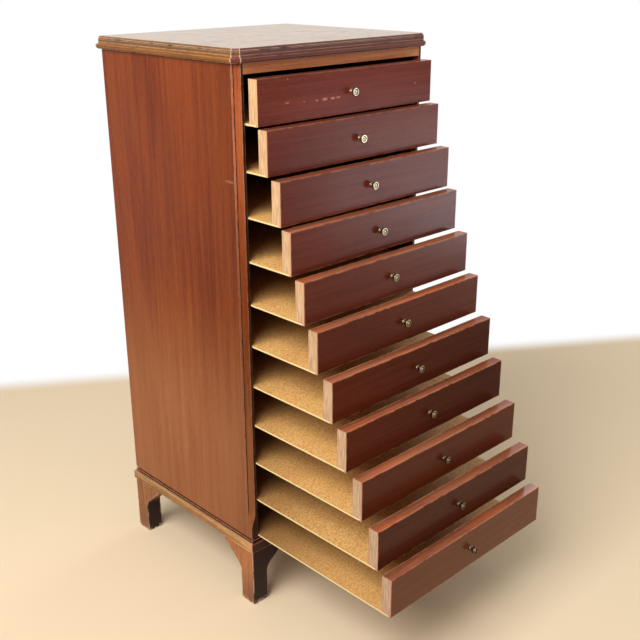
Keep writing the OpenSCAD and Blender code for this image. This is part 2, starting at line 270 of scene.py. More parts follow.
# How squarely a face looks up to count as flat
FLAT = (0.9, 0.98)


def age(graph, colour, seed, pale, rubbed, rubbed_from=(0.1, 0.34), reach=0.0018,
        patchy=(0.34, 0.6), grime=0.7, grime_from=(0.12, 0.5), grime_reach=0.004, alone=True):
    """Darkens the corners as old polish and painted shade, and rubs the arrises pale, in patches.
    Rubbed and grime say how strongly, their pairs where they start and are full, and
    their reaches how wide."""
    # Painted shade and old polish: corners that hide the light are darkened
    corner = graph.hidden(grime_reach, grime_from, alone=alone)
    colour = graph.mix(graph.times(corner, grime), colour, GRIME_AND_SHADE)
    patch = graph.patches(PATCH_WAVES, PATCH_DETAIL, patchy, shift=(seed, seed, 0.0))
    arris = graph.times(graph.hidden(reach, rubbed_from, inside=True), patch)
    return graph.mix(graph.times(arris, rubbed), colour, pale)


# The two upright arrises at each cut front corner: how far out and back each mitre starts at the
# carcass, and the direction across it
CUT = 0.0076
MITRE = math.radians(22.5)
CUT_ARRISES = (
    (CARCASS_HALF, CARCASS_FRONT + CUT, math.sin(MITRE), math.cos(MITRE)),
    (CARCASS_HALF - CUT, CARCASS_FRONT, math.cos(MITRE), math.sin(MITRE)),
)
ARRIS_PALE = rgb(226, 204, 180)
ARRIS_STRENGTH = 0.75
ARRIS_WAVES = (500.0, 500.0, 260.0)
ARRIS_PATCHY = (0.3, 0.5)
# How far from its middle the line ends, and how far it is full
ARRIS_HALF = (0.0010, 0.0004)


def pale_arrises(graph, colour):
    """Draws the cut corners' upright arrises, which are worn to a pale line."""
    x, y = graph.split(graph.place())[:2]
    out = graph.math("ABSOLUTE", x)
    lines = []
    for out_at, back_at, out_share, back_share in CUT_ARRISES:
        off = graph.blend(
            (graph.minus(out, out_at), out_share), (graph.minus(y, back_at), back_share))
        lines.append(graph.step(graph.math("ABSOLUTE", off), *ARRIS_HALF))
    patch = graph.patches(ARRIS_WAVES, PATCH_DETAIL, ARRIS_PATCHY)
    upright = graph.minus(1.0, graph.facing("Z", 1, FLAT))
    line = graph.times(graph.math("MAXIMUM", *lines), patch, upright, ARRIS_STRENGTH)
    return graph.mix(line, colour, ARRIS_PALE)


RAGGED_WAVES = (700.0, 700.0, 700.0)
RAGGED = 3.6
# Where an ellipse's edge ends and where it is full, in squares of its half size
ELLIPSE_EDGE = (1.3, 0.6)


def ellipse(graph, axes, centre, half):
    """1 inside a ragged ellipse on the plane of two axes."""
    place = graph.split(graph.place())
    square = 0.0
    for axis, at, size in zip(axes, centre, half):
        off = graph.math("DIVIDE", graph.minus(place[AXES.index(axis)], at), size)
        square = graph.plus(square, graph.math("POWER", graph.math("ABSOLUTE", off), 2.0))
    ragged = graph.minus(graph.noise(RAGGED_WAVES, PATCH_DETAIL), NOISE_MIDDLE)
    return graph.step(graph.plus(square, graph.times(ragged, RAGGED)), *ELLIPSE_EDGE)


def uneven(graph, roughness, spread, waves, seed):
    """A roughness that wanders over a spread, as that of worn varnish does."""
    cloud = graph.noise((waves, waves, waves), detail=4.0, shift=(seed, 0.0, 0.0))
    return graph.plus(graph.times(cloud, spread), roughness - spread / 2)


def front_to_back(graph, colour, front, back, depth):
    """Makes wood as bright as front at the carcass's front, and as back from some depth on."""
    y = graph.split(graph.place())[1]
    share = graph.step(y, CARCASS_FRONT, CARCASS_FRONT + depth)
    return graph.tint(colour, share, (front, front, front), (back, back, back))


# Painted shade for the inside of the cabinet, which gets little light
INSIDE_SHADE = rgb(46, 30, 20)
# How far outside an inner face its painted shade ends, and how far it is full
INNER_EDGE = (0.0006, 0.0002)


def paint_inside_shade(graph, colour, inner_face):
    """Paints shade on what lies no further out than an inner face."""
    out = graph.math("ABSOLUTE", graph.split(graph.place())[0])
    within = graph.step(out, *(inner_face + past for past in INNER_EDGE))
    return graph.mix(within, colour, INSIDE_SHADE)


# How high above the floor the chips on the feet end, and how high they are full
CHIPPED_UP = (0.010, 0.001)
CHIPPED_WAVES = (150.0, 150.0, 90.0)
CHIPPED_PATCHY = (0.42, 0.56)


def chips_at_floor(graph, colour, seed, pale, chipped):
    """Makes wood pale in patches at the floor."""
    near = graph.step(graph.split(graph.place())[2], *CHIPPED_UP)
    patch = graph.patches(CHIPPED_WAVES, PATCH_DETAIL, CHIPPED_PATCHY, shift=(seed, 2.0, 0.0))
    return graph.mix(graph.times(near, patch, chipped), colour, pale)


# Varnished and bare wood

# As shares of the height: where the highest parts' own colours start and are full, and where the
# stronger wear near the top does
HIGH_FROM = (0.6, 0.9)
TOP_RUB_FROM = (0.68, 0.86)
# Painted shade for the faces that look along Y, which get little light
Y_SHADE = rgb(47, 29, 24)
# How squarely a face looks along Y to get the painted shade
Y_SHADE_FROM = (0.78, 0.94)
BEAD_BROWN = rgb(128, 72, 52)
BEAD_EDGE = 0.0004
SCUFF_STRENGTH = 0.3
VARNISHED_PORES = 0.35
VARNISH_SPREAD = 0.2
VARNISH_WAVES = 9.0


def heights(shares):
    """Shares of the cabinet's height, in metres."""
    return tuple(HEIGHT * share for share in shares)


def polished_wood(name, axis, seed, dark, light, roughness=0.36, specular=0.15, ribbons=38.0,
                  contrast=1.0, pale=rgb(196, 142, 116), low=None, low_from=(0.62, 0.3),
                  high=None, ends=None, bead_from=None, y_shade=0.0, rubbed=0.75,
                  rubbed_above=None, cut=False, inner_face=None, chipped=0.0, scuffs=(),
                  **ageing):
    """Varnished wood, from a dark to a light colour.

    Low and high are dark and light pairs for the lowest and the highest parts, and low_from says
    where, as shares of the height, the lowest parts' pair starts and is full. Ends says how
    bright the wood is at the front, how bright further back, and over what depth it changes.
    Bead_from is the height over which a base rail has its bead's brown. Y_shade is how dark the
    faces that look along Y are painted, as painted shade. Rubbed is how pale the arrises are, and
    rubbed_above how pale near the top. Cut is for a piece that goes round the cut front corners.
    Inner_face is how far out the inner faces lie, which get painted shade. Chipped is how pale the
    wood is at the floor. Scuffs are pale ellipses."""
    graph = material_graph(name)
    z = graph.split(graph.place())[2]
    for pair, shares in ((low, low_from), (high, HIGH_FROM)):
        if pair:
            faded = graph.step(z, *heights(shares))
            dark, light = (graph.mix(faded, a, b) for a, b in zip((dark, light), pair))
    colour, height = grain(graph, axis, seed, dark, light, VARNISHED_PORES, ribbons, contrast)
    if ends:
        colour = front_to_back(graph, colour, *ends)
    if bead_from:
        colour = graph.mix(graph.step(z, bead_from, bead_from + BEAD_EDGE), colour, BEAD_BROWN)
    # Painted shade: the faces that look along Y are darkened
    if y_shade:
        y_shade_share = graph.times(graph.facing("Y", 0, Y_SHADE_FROM), y_shade)
        colour = graph.mix(y_shade_share, colour, Y_SHADE)
    if rubbed_above:
        rise = graph.step(z, *heights(TOP_RUB_FROM))
        rubbed = graph.plus(graph.times(rise, rubbed_above - rubbed), rubbed)
    colour = age(graph, colour, seed, pale, rubbed, **ageing)
    if cut:
        colour = pale_arrises(graph, colour)
    if inner_face:
        colour = paint_inside_shade(graph, colour, inner_face)
    if chipped:
        colour = chips_at_floor(graph, colour, seed, pale, chipped)
    for scuff in scuffs:
        colour = graph.mix(graph.times(ellipse(graph, *scuff), SCUFF_STRENGTH), colour, pale)
    rough = uneven(graph, roughness, VARNISH_SPREAD, VARNISH_WAVES, seed)
    return graph.finish(colour, rough, height, depth=0.00004, Specular_IOR_Level=specular)


def bare_wood(name, axis, dark, light, inside=0.0):
    """Unvarnished wood. Inside is how much painted shade it has where it looks forward, into
    the cabinet.
    """
    graph = material_graph(name)
    colour, height = grain(graph, axis, 3.0, dark, light, pores=0.25)
    colour = graph.mix(graph.times(graph.facing("Y", -1), inside), colour, INSIDE_SHADE)
    return graph.finish(
        colour, roughness=0.7, height=height, depth=0.0001, Specular_IOR_Level=0.2)


# The top board

# Old polish and painted shade in the grooves of the top board and its mouldings
GROOVES = {"grime": 0.95, "grime_reach": 0.008, "grime_from": (0.1, 0.42), "alone": False}
SCRATCH_WAVES = (24.0, 60.0, 60.0)
# How rough the top is, and how much rougher where it is scratched
TOP_ROUGHNESS = 0.17
SCRATCH_ROUGHNESS = 0.06


def top_board_wood():
    """The top board's wood: faded to tan above, and brown round its edges, ochre at the sides."""
    graph = material_graph("top_board_wood")
    above, height = grain(
        graph, "X", 4.0, rgb(146, 104, 52), rgb(180, 136, 76), pores=0.2, contrast=0.8)
    beside = grain(graph, "Y", 4.5, rgb(100, 64, 24), rgb(150, 100, 44), VARNISHED_PORES)[0]
    ahead = grain(graph, "X", 4.7, rgb(88, 42, 34), rgb(124, 66, 52), VARNISHED_PORES)[0]
    colour = graph.mix(graph.facing("X"), ahead, beside)
    colour = graph.mix(graph.facing("Z", 1, FLAT), colour, above)
    colour = age(
        graph, colour, 4.0, rgb(206, 164, 128), 0.7, rubbed_from=(0.08, 0.22), reach=0.0012,
        patchy=(0.3, 0.54), **GROOVES)
    colour = pale_arrises(graph, colour)
    scratch = graph.patches(
        SCRATCH_WAVES, detail=5.0, bounds=(0.45, 0.75), shift=(4.0, 1.0, 0.0), distortion=1.5)
    rough = graph.plus(graph.times(scratch, SCRATCH_ROUGHNESS), TOP_ROUGHNESS)
    return graph.finish(colour, rough, height, depth=0.00002, Specular_IOR_Level=0.345)


# The tray fronts and panels

# How glossy each front's varnish is, from the top tray down
FRONT_SPECULAR = (0.08, 0.09, 0.1, 0.12, 0.14, 0.12, 0.055, 0.06, 0.13, 0.13, 0.26)
# How bright each front's face is, from the top tray down: partly the fronts' own fading, partly
# painted shade, with the lowest front brightened as a painted reflection of the floor
FRONT_TONE_AND_SHEEN = (1.03, 0.94, 0.86, 0.8, 0.76, 0.68, 0.6, 0.58, 0.64, 0.45, 1.0)
FRONT_RIBBONS = 120.0
# The fronts that are painted brighter at the left and darker to the right, as painted light and
# shade, how far out to both sides they change, and how bright their left and right ends are, in
# red, green and blue
SHADED_RIGHT = (7, 8)
SHADED_RIGHT_HALF = 0.2
LEFT_LIGHT_TINT = (1.12, 1.16, 1.2)
RIGHT_SHADE_TINT = (0.7, 0.7, 0.8)
# The lowest front's dark and light, which are browner than the others'
LOWEST_FACE = (rgb(108, 52, 22), rgb(136, 70, 34))
REAR_FACE = rgb(140, 84, 56)
# Added to a front's seed for its top edge's grain
EDGE_SEED = 20
# How bright a top edge is painted at its rear, as shade, and at its front, as light, in red, green
# and blue
EDGE_REAR_SHADE = (0.62, 0.64, 0.66)
EDGE_FRONT_LIGHT = (1.2, 1.2, 1.28)
# How far down the stack the top edges have painted shade, and how far down the arrises are
# less worn
EDGE_SHADE_DOWN = 0.35
ARRIS_FULL_DOWN = 0.3
# How strongly the top tray's arrises are rubbed, and how strongly those further down
ARRIS_RUBBED = (0.3, 0.7)
# How much rougher the bare ends are than the varnish
BARE_ROUGHNESS = 0.45
# How sharply the facing's end grain meets the core's
FACING_EDGE = 0.0003
# Chips in the uppermost front: place along X, height over the lower edge, and half size both ways
CHIPS = (
    (-0.142, 0.0308, 0.0042, 0.0012), (-0.106, 0.0292, 0.0014, 0.0012),
    (-0.078, 0.0282, 0.0028, 0.0018), (-0.060, 0.0286, 0.0056, 0.0026),
    (-0.0425, 0.0284, 0.0052, 0.0022), (-0.0300, 0.0288, 0.0050, 0.0015),
    (-0.1405, 0.0669, 0.0016, 0.0010), (0.160, 0.0348, 0.0014, 0.0014),
)
CHIP_PALE = rgb(224, 144, 126)


def share_down(n):
    """0 for the top tray, 1 for the lowest."""
    return (n - 1) / (TRAYS - 1)


def down_the_stack(n, top, lowest):
    """A value that changes evenly from the top tray's to the lowest one's."""
    return top + (lowest - top) * share_down(n)


def front_face(graph, n):
    """The colour and the height of a front's varnished face, redder on the upper trays."""
    down = share_down(n)
    dark = ramp((118, 46, 32), (112, 48, 22), down)
    light = ramp((148, 66, 48), (140, 66, 34), down)
    if n == TRAYS:
        dark, light = LOWEST_FACE
    # The tone holds painted shade and painted reflection as well as the wood's own tone
    tone = FRONT_TONE_AND_SHEEN[n - 1]
    face, height = grain(
        graph, "X", n, shade(dark, tone), shade(light, tone), pores=0.45, ribbons=FRONT_RIBBONS,
        contrast=down_the_stack(n, top=0.9, lowest=0.5))
    # Painted light at the left end and painted shade towards the right
    if n in SHADED_RIGHT:
        x = graph.split(graph.place())[0]
        rightward_shade = graph.step(x, -SHADED_RIGHT_HALF, SHADED_RIGHT_HALF)
        face = graph.tint(face, rightward_shade, LEFT_LIGHT_TINT, RIGHT_SHADE_TINT)
    return face, height


def front_edge(graph, n):
    """The colour of a front's top edge, rubbed orange in places, with painted shade on the upper
    trays and at its rear.
    """
    low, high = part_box(f"tray_{n}_front")
    edge = grain(
        graph, "X", n + EDGE_SEED, rgb(134, 74, 48), rgb(180, 110, 76), ribbons=FRONT_RIBBONS)[0]
    patch = graph.patches(
        (7.0, 60.0, 60.0), detail=4.0, bounds=(0.5, 0.68), shift=(n, 3.0, 0.0))
    orange = graph.times(patch, down_the_stack(n, top=0.75, lowest=0.45))
    edge = graph.mix(orange, edge, rgb(206, 98, 44))
    # Painted shade on the upper trays' top edges, which the rail and trays above keep from the
    # light
    edge_shade = max(0.0, 1 - share_down(n) / EDGE_SHADE_DOWN)
    edge = graph.mix(edge_shade, edge, rgb(112, 62, 50))
    # Painted shade at the rear of the top edge, under the tray above, and painted light at its
    # front
    forward = graph.step(graph.split(graph.place())[1], high.y, low.y)
    return graph.tint(edge, forward, EDGE_REAR_SHADE, EDGE_FRONT_LIGHT)


def front_end(graph, n):
    """The colour of a front's bare end: the core's end grain, and the facing's before it."""
    down = share_down(n)
    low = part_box(f"tray_{n}_front")[0]
    core = graph.mix(
        graph.patches((500.0, 620.0, 46.0), detail=5.0, bounds=(0.3, 0.7), shift=(n, 0.0, 0.0)),
        ramp((206, 160, 114), (178, 142, 114), down), ramp((250, 210, 162), (218, 188, 158), down))
    facing = graph.mix(
        graph.patches((500.0, 900.0, 26.0), detail=4.0, bounds=(0.34, 0.66), shift=(n, 0.0, 0.0)),
        rgb(170, 126, 102), rgb(234, 196, 164))
    facing = graph.mix(1 - down, facing, rgb(230, 184, 136))
    before_core = graph.minus(low.y + FACING_T, graph.split(graph.place())[1])
    return graph.mix(graph.step(before_core, -FACING_EDGE, FACING_EDGE), core, facing)


def tray_front_wood(n):
    """A tray front's wood: varnished face, worn top edge, and bare ends of core and facing."""
    graph = material_graph(f"tray_{n}_front_wood")
    bare = graph.facing("X")
    colour, height = front_face(graph, n)
    colour = graph.mix(graph.facing("Z", 1), colour, front_edge(graph, n))
    colour = graph.mix(bare, colour, front_end(graph, n))
    colour = graph.mix(graph.facing("Y", 1), colour, REAR_FACE)
    least, most = ARRIS_RUBBED
    rubbed = least + (most - least) * min(1.0, share_down(n) / ARRIS_FULL_DOWN)
    colour = age(
        graph, colour, n, rgb(214, 146, 112), rubbed, rubbed_from=(0.08, 0.26), reach=0.0026,
        patchy=(0.36, 0.56), grime=0.3)
    if n == 1:
        lower_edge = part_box("tray_1_front")[0].z
        for x_at, up, x_half, z_half in CHIPS:
            chip = ellipse(graph, "XZ", (x_at, lower_edge + up), (x_half, z_half))
            colour = graph.mix(graph.times(chip, graph.facing("Y", -1)), colour, CHIP_PALE)
    varnish = uneven(graph, roughness=0.21, spread=0.14, waves=14.0, seed=n)
    rough = graph.plus(varnish, graph.times(bare, BARE_ROUGHNESS))
    return graph.finish(
        colour, rough, height, depth=0.00003, Specular_IOR_Level=FRONT_SPECULAR[n - 1])


# How bright the lowest panel is, and how much brighter each one above it, up to 1
LOWEST_PANEL = 0.892
PANEL_RISE = 0.048
# How much of a panel's depth, from its front, is free of the painted shade at its back
PANEL_UNSHADED_DEPTH = 0.3
# The sizes of the speckle: waves to the metre, and what each adds
FINE_WAVES = (560.0, 760.0, 760.0)
COARSE_WAVES = (230.0, 330.0, 330.0)
FINE_SHARE = 0.62
COARSE_SHARE = 0.38
SPECKLE_FROM = (0.4, 0.57)
# How strong the panels' brown clouds are, and the painted shade at their backs
CLOUD_STRENGTH = 0.25
REAR_SHADE_STRENGTH = 0.78


def tray_panel_wood(n):
    """A tray's panel: speckled like pressed board, with a pale sawn edge, and painted shade
    towards its back and on its underside.
    """
    graph = material_graph(f"tray_{n}_panel_board")
    low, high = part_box(f"tray_{n}_panel")
    fine = graph.noise(FINE_WAVES, detail=3.0, shift=(n, 0.0, 0.0))
    coarse = graph.noise(COARSE_WAVES, detail=4.0, shift=(n, 1.0, 0.0))
    fleck = graph.blend((fine, FINE_SHARE), (coarse, COARSE_SHARE))
    tone = min(1.0, LOWEST_PANEL + PANEL_RISE * (TRAYS - n))
    colour = graph.mix(
        graph.step(fleck, *SPECKLE_FROM), shade(rgb(230, 144, 70), tone),
        shade(rgb(255, 216, 138), tone))
    cloud = graph.patches(
        (16.0, 26.0, 16.0), detail=4.0, bounds=(0.5, 0.72), shift=(0.0, n, 0.0))
    colour = graph.mix(graph.times(cloud, CLOUD_STRENGTH), colour, rgb(216, 146, 84))
    # Painted shade: the panel darkens towards its back, inside the cabinet
    dark_from = low.y + PANEL_UNSHADED_DEPTH * (high.y - low.y)
    rear_shade = graph.step(graph.split(graph.place())[1], dark_from, high.y)
    colour = graph.mix(graph.times(rear_shade, REAR_SHADE_STRENGTH), colour, rgb(120, 74, 40))
    colour = graph.mix(graph.facing("X"), colour, rgb(255, 228, 166))
    # Painted shade: the underside is darker
    colour = graph.mix(graph.facing("Z", -1), colour, rgb(150, 102, 60))
    return graph.finish(
        colour, roughness=0.62, height=fleck, depth=0.00008, Specular_IOR_Level=0.25)


# Brass

# How bright each knob's brass is, from the top tray down; the lower knobs are darkened as
# painted shade for the dark surroundings that they mirror
KNOB_TONE_AND_SHADE = (1.05, 1.0, 0.82, 0.8, 0.8, 0.76, 0.7, 0.66, 0.5, 0.5, 0.5)
# How bright the rim of each knob's face is, from the top tray down; the lower rims are darkened
# as painted shade
KNOB_RIM_SHADE = (1.0, 1.0, 0.8, 0.75, 0.75, 0.6, 0.6, 0.6, 0.3, 0.3, 0.25)
KNOB_ROUGHNESS = 0.16
PIN_ROUGHNESS = 0.35
# The dish round a knob's button, going out from the axis: where it starts and is full, and where
# it ends and is still full
DISH_FROM = (0.0024, 0.0031)
DISH_TO = (0.0054, 0.0049)
DISH_DARK = 0.92
BRASS_WAVES = (900.0, 900.0, 900.0)
# The grime in the brass's corners: its colour, how strong it is, how much rougher it makes the
# brass, how wide it is, and the hidden shares of the light where it starts and is full
BRASS_GRIME = rgb(52, 42, 30)
BRASS_GRIME_STRENGTH = 0.9
BRASS_GRIME_ROUGHNESS = 0.25
BRASS_GRIME_REACH = 0.0022
BRASS_GRIME_FROM = (0.1, 0.42)


def dish_dark(graph, axis_at, rim):
    """How dark a knob's face is in the dish round its button, and outside it by the rim, where
    the dark is painted shade.
    """
    squares = []
    for value, middle in zip(graph.split(graph.place())[::2], axis_at):
        off = graph.minus(value, middle)
        squares.append(graph.times(off, off))
    radius = graph.math("SQRT", graph.plus(*squares))
    # Outside the dish the rim is darkened as painted shade, where rim is under 1
    dish = graph.math("MAXIMUM", graph.step(radius, *DISH_TO), 1.0 - rim)
    return graph.times(
        dish, graph.step(radius, *DISH_FROM), graph.facing("Y", -1), DISH_DARK)


def brass(name, dark, light, roughness, axis_at=None, rim=1.0):
    """Worn brass, dark in its corners. A knob is given with its axis's place along X and Z, and
    with rim, which says how bright its face is outside the dish, where less than 1 paints shade."""
    graph = material_graph(name)
    patch = graph.noise(BRASS_WAVES, detail=3.0)
    grime = graph.hidden(BRASS_GRIME_REACH, BRASS_GRIME_FROM)
    if axis_at:
        grime = graph.math("MAXIMUM", grime, dish_dark(graph, axis_at, rim))
    colour = graph.mix(patch, dark, light)
    colour = graph.mix(graph.times(grime, BRASS_GRIME_STRENGTH), colour, BRASS_GRIME)
    rough = graph.plus(graph.times(grime, BRASS_GRIME_ROUGHNESS), roughness)
    return graph.finish(colour, rough, patch, depth=0.00003, Metallic=1.0)


def knob_brass(n, tone, rim):
    """A knob's brass, greyer on the upper trays."""
    down = share_down(n)
    low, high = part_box(f"tray_{n}_knob")
    axis_at = ((low.x + high.x) / 2, (low.z + high.z) / 2)
    dark = ramp((140, 126, 100), (140, 114, 76), down)
    light = ramp((228, 216, 192), (228, 204, 156), down)
    return brass(
        f"tray_{n}_brass", shade(dark, tone), shade(light, tone), KNOB_ROUGHNESS, axis_at, rim)


# Pins

PIN_SIDES = 12
# A pin head's radius and height from the foot up, in radii
PIN_PROFILE = ((0.92, -0.6), (1.0, 0.0), (0.94, 0.22), (0.72, 0.42), (0.38, 0.54))
# The pins round the back panel, and how far in from its edges they sit
PIN_RADIUS = 0.0022
PIN_INSET = 0.012
PIN_ROWS = 9
PIN_COLUMNS = 5
# The pins under a tray, and how far they sit from the panel's sides and behind its front edge
PANEL_PIN_RADIUS = 0.0016
PANEL_PIN_INSET = 0.02
PANEL_PIN_BACK = 0.0075
PANEL_PINS = 7


def pin_head(mesh, at, radius):
    """Adds one domed pin head to a mesh, with its foot a little sunk."""
    angles = [2 * math.pi * k / PIN_SIDES for k in range(PIN_SIDES)]
    rings = []
    for wide, high in PIN_PROFILE:
        spots = [
            (radius * wide * math.cos(angle), radius * wide * math.sin(angle), radius * high)
            for angle in angles]
        rings.append([mesh.verts.new(at @ Vector(spot)) for spot in spots])
    for lower, upper in zip(rings, rings[1:]):
        for k in range(PIN_SIDES):
            ahead = (k + 1) % PIN_SIDES
            mesh.faces.new((lower[k], lower[ahead], upper[ahead], upper[k]))
    mesh.faces.new(tuple(reversed(rings[0])))
    mesh.faces.new(rings[-1])


def pins(name, body, spots, facing, radius, material):
    """One piece of pin heads, which rides a body and faces a direction."""
    mesh = bmesh.new()
    turn = Vector(facing).to_track_quat("Z", "Y").to_matrix().to_4x4()
    for spot in spots:
        pin_head(mesh, Matrix.Translation(spot) @ turn, radius)
    data = bpy.data.meshes.new(name)
    mesh.to_mesh(data)
    mesh.free()
    data.shade_smooth()
    data.materials.append(material)
    made = bpy.data.objects.new(name, data)
    bpy.context.scene.collection.objects.link(made)
    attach(made, body)


def even(low, high, count):
    """Places from low to high, at even distances."""
    return [low + (high - low) * k / (count - 1) for k in range(count)]


def back_pins(material):
    """The pins along all four edges of the back panel."""
    low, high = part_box("back_panel")
    rows = even(low.z + PIN_INSET, high.z - PIN_INSET, PIN_ROWS)
    columns = even(low.x + PIN_INSET, high.x - PIN_INSET, PIN_COLUMNS)
    places = {(x, z) for x in (columns[0], columns[-1]) for z in rows}
    places |= {(x, z) for x in columns for z in (rows[0], rows[-1])}
    spots = [(x, high.y, z) for x, z in sorted(places)]
    pins("back_panel_pins", "cabinet", spots, (0, 1, 0), PIN_RADIUS, material)


def tray_pins(n, material):
    """The small pins under the front edge of a tray's panel."""
    low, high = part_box(f"tray_{n}_panel")
    across = even(low.x + PANEL_PIN_INSET, high.x - PANEL_PIN_INSET, PANEL_PINS)
    spots = [(x, low.y + PANEL_PIN_BACK, low.z) for x in across]
    pins(f"tray_{n}_pins", f"tray_{n}", spots, (0, 0, -1), PANEL_PIN_RADIUS, material)


# Dressing the nodes

POST_EASE = 0.0005
FOOT_EASE = 0.0008
EASE_SEGMENTS = 2
EASE_ANGLE = math.radians(38)
WELD_DISTANCE = 1e-6
# Scuffs on the side boards: how far behind the front edge, how high, and half size both ways
SIDE_SCUFFS = ((0.011, 0.795, 0.012, 0.0022), (0.203, 0.246, 0.0012, 0.016))


def dress(node, material):
    """Gives a CAD node its material."""
    slots = frame["nodes"][node].data.materials
    slots.clear()
    slots.append(material)


def ease(node, width):
    """Rounds a CAD node's arrises."""
    piece = frame["nodes"][node]
    piece.modifiers.new("weld", "WELD").merge_threshold = WELD_DISTANCE
    bevel = piece.modifiers.new("eased arrises", "BEVEL")
    bevel.width = width
    bevel.segments = EASE_SEGMENTS
    bevel.limit_method = "ANGLE"
    bevel.angle_limit = EASE_ANGLE


def dress_trays():
    """The trays' fronts, panels and knobs, and all the pins."""
    pin_brass = brass("pin_brass", rgb(150, 118, 66), rgb(188, 156, 100), PIN_ROUGHNESS)
    back_pins(pin_brass)
    for n, (tone, rim) in enumerate(zip(KNOB_TONE_AND_SHADE, KNOB_RIM_SHADE), 1):
        dress(f"tray_{n}_front", tray_front_wood(n))
        dress(f"tray_{n}_panel", tray_panel_wood(n))
        dress(f"tray_{n}_knob", knob_brass(n, tone, rim))
        tray_pins(n, pin_brass)


def dress_sides():
    """The side boards, with their scuffs."""
    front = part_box("side_left")[0].y
    scuffs = [
        ("YZ", (front + back, up), (y_half, z_half)) for back, up, y_half, z_half in SIDE_SCUFFS]
    # The paler lower part, low, is painted light, for the light that the floor throws up
    wood = polished_wood(
        "side_veneer", "Z", 1.0, rgb(103, 37, 11), rgb(147, 70, 24), specular=0.135,
        low=(rgb(148, 86, 50), rgb(172, 110, 70)), ends=(0.84, 1.03, 0.16), rubbed=0.4,
        ribbons=84.0, contrast=0.75, alone=False, inner_face=SIDE_INNER, scuffs=scuffs)
    for side in ("left", "right"):
        dress(f"side_{side}", wood)


def dress_face():
    """The corner posts and the front top rail."""
    post_wood = polished_wood(
        "post_wood", "Z", 2.0, rgb(100, 40, 12), rgb(136, 64, 24), pale=rgb(206, 160, 134),
        low=(rgb(122, 70, 38), rgb(150, 92, 56)), high=(rgb(146, 70, 34), rgb(188, 100, 58)),
        y_shade=0.9, rubbed=0.45, rubbed_above=0.9, rubbed_from=(0.12, 0.3), reach=0.0014,
        patchy=(0.3, 0.54), grime=0.95, grime_from=(0.08, 0.4), alone=False, contrast=1.3)
    # The front rail is coloured bright as painted light, since the lamps only graze its face
    rail_wood = polished_wood(
        "rail_wood", "X", 2.5, rgb(224, 128, 76), rgb(255, 174, 116), rubbed=0.4)
    for node, wood in (("corner_post_left", post_wood), ("corner_post_right", post_wood),
                       ("top_rail_front", rail_wood)):
        dress(node, wood)
        ease(node, POST_EASE)


def dress_top():
    """The top board and the moulding under it."""
    dress("top_board", top_board_wood())
    shared = {
        "specular": 0.2, "rubbed_from": (0.08, 0.24), "reach": 0.0014, "cut": True, **GROOVES}
    wood_x = polished_wood(
        "moulding_wood_x", "X", 5.0, rgb(90, 42, 34), rgb(128, 66, 52), patchy=(0.3, 0.54),
        **shared)
    wood_y = polished_wood(
        "moulding_wood_y", "Y", 5.0, rgb(108, 62, 22), rgb(166, 106, 46), pale=rgb(206, 150, 90),
        patchy=(0.26, 0.5), **shared)
    for place in ("front", "rear", "corners"):
        dress(f"top_moulding_{place}", wood_x)
    for place in ("left", "right"):
        dress(f"top_moulding_{place}", wood_y)


def dress_base():
    """The base rails."""
    shared = {
        "roughness": 0.4, "specular": 0.2, "grime": 0.95, "bead_from": BEAD_FROM, "alone": False}
    # The front and rear rails are coloured darker than the side rails, as painted shade under the
    # trays
    wood_x = polished_wood(
        "base_wood_x", "X", 6.0, rgb(96, 50, 30), rgb(130, 74, 46), y_shade=0.75, **shared)
    wood_y = polished_wood(
        "base_wood_y", "Y", 6.0, rgb(140, 94, 54), rgb(218, 166, 112), pale=rgb(212, 160, 134),
        ribbons=90.0, contrast=1.2, ends=(1.12, 0.84, 0.38), **shared)
    for place in ("front", "rear"):
        dress(f"base_rail_{place}", wood_x)
    for place in ("left", "right"):
        dress(f"base_rail_{place}", wood_y)


def dress_feet():
    """The feet, and the glue blocks on top of them."""
    wood = polished_wood(
        "foot_wood", "Z", 7.0, rgb(112, 62, 38), rgb(196, 128, 80), roughness=0.4, specular=0.2,
        pale=rgb(222, 188, 160), low=(rgb(92, 54, 38), rgb(160, 106, 74)), low_from=(0.08, 0.01),
        y_shade=1.0, chipped=0.85, rubbed=0.9, rubbed_from=(0.08, 0.24), reach=0.0022,
        patchy=(0.34, 0.56), contrast=1.1)
    for node in ("foot_front_left", "foot_front_right", "foot_rear_left", "foot_rear_right",
                 "foot_blocks"):
        dress(node, wood)
        ease(node, FOOT_EASE)


def dress_inside():
    """The rear rail, the bottom board, the runners and the back panel."""
    rail_wood = bare_wood("secondary_wood_x", "X", rgb(128, 92, 58), rgb(176, 136, 92))
    # The runners are coloured dark and the back panel's inner face is darkened, as painted shade
    # inside the cabinet
    runner_shade_wood = bare_wood("runner_shade_wood", "Y", rgb(44, 30, 20), rgb(78, 56, 36))
    back_wood = bare_wood("back_wood", "Z", rgb(112, 76, 46), rgb(158, 116, 74), inside=0.85)
    for node in ("top_rail_rear", "bottom_board"):
        dress(node, rail_wood)
    for side in ("left", "right"):
        dress(f"tray_runners_{side}", runner_shade_wood)
    dress("back_panel", back_wood)


# The stage, the light and the camera

WHITE = (1.0, 1.0, 1.0, 1.0)
FLOOR_SIZE = 60.0
FLOOR_SEEN = (*rgb(252, 230, 196), 1.0)
FLOOR_BOUNCE = (0.48, 0.37, 0.26, 1.0)
# The floor turns white past a line behind the cabinet, and far off all round. The line lies
# across this direction.
BEHIND = (0.55, 0.83)
WHITE_PAST = (0.90, 1.00)
WHITE_BEYOND = (1.7, 2.4)
STUDIO_COLOUR = (1.0, 0.96, 0.92, 1.0)
STUDIO_STRENGTH = 0.2
